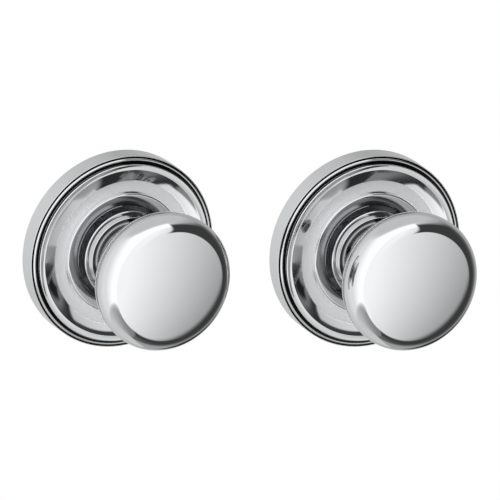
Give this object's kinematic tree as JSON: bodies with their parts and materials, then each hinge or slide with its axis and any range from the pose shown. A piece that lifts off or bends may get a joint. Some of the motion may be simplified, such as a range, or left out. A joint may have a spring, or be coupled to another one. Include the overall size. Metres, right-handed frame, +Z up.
{
  "type": "passage knob set",
  "caption": "Passage door knob set in polished chrome: round domed knobs that turn in moulded round roses, with sprung shanks, mounting plates and square half spindles.",
  "frame": {"origin": "centre of the outside rose on the door face", "axes": "+X along the door from the outside trim to the inside trim, +Y into the door, +Z up; each knob stands out of the door along -Y"},
  "size_m": [0.1664, 0.0712, 0.07],
  "materials": {
    "polished_chrome": "polished chrome plate on brass",
    "blackened_steel": "blackened steel screw",
    "die_cast_zinc": "die-cast zinc, as cast",
    "acetal": "black acetal",
    "spring_steel": "oiled spring steel",
    "plated_steel": "zinc-plated steel"
  },
  "bodies": {
    "door_side": {"outside_rose": "polished_chrome", "outside_rose_set_screw": "blackened_steel", "outside_mounting_plate": "die_cast_zinc", "outside_bearing_bush": "acetal", "outside_return_spring": "spring_steel", "outside_fixing_posts": "plated_steel", "inside_rose": "polished_chrome", "inside_rose_set_screw": "blackened_steel", "inside_mounting_plate": "die_cast_zinc", "inside_bearing_bush": "acetal", "inside_return_spring": "spring_steel", "inside_through_bolts": "plated_steel"},
    "outside_turning": {"outside_knob": "polished_chrome", "outside_knob_set_screw": "blackened_steel", "outside_drive_cam": "plated_steel", "outside_thrust_washer": "plated_steel", "outside_retaining_ring": "spring_steel", "outside_spindle": "plated_steel"},
    "inside_turning": {"inside_knob": "polished_chrome", "inside_knob_set_screw": "blackened_steel", "inside_drive_cam": "plated_steel", "inside_thrust_washer": "plated_steel", "inside_retaining_ring": "spring_steel", "inside_spindle": "plated_steel"}
  },
  "joints": [
    {"name": "outside_knob_turn", "type": "hinge", "parent": "door_side", "child": "outside_turning", "pos_m": [0, 0, 0], "axis": [0, -1, 0], "range_deg": [-50, 50], "stiffness_Nm_per_rad": 0.25, "deforming": ["outside_return_spring"]},
    {"name": "inside_knob_turn", "type": "hinge", "parent": "door_side", "child": "inside_turning", "pos_m": [0.0964, 0, 0], "axis": [0, -1, 0], "range_deg": [-50, 50], "stiffness_Nm_per_rad": 0.25, "deforming": ["inside_return_spring"]}
  ]
}
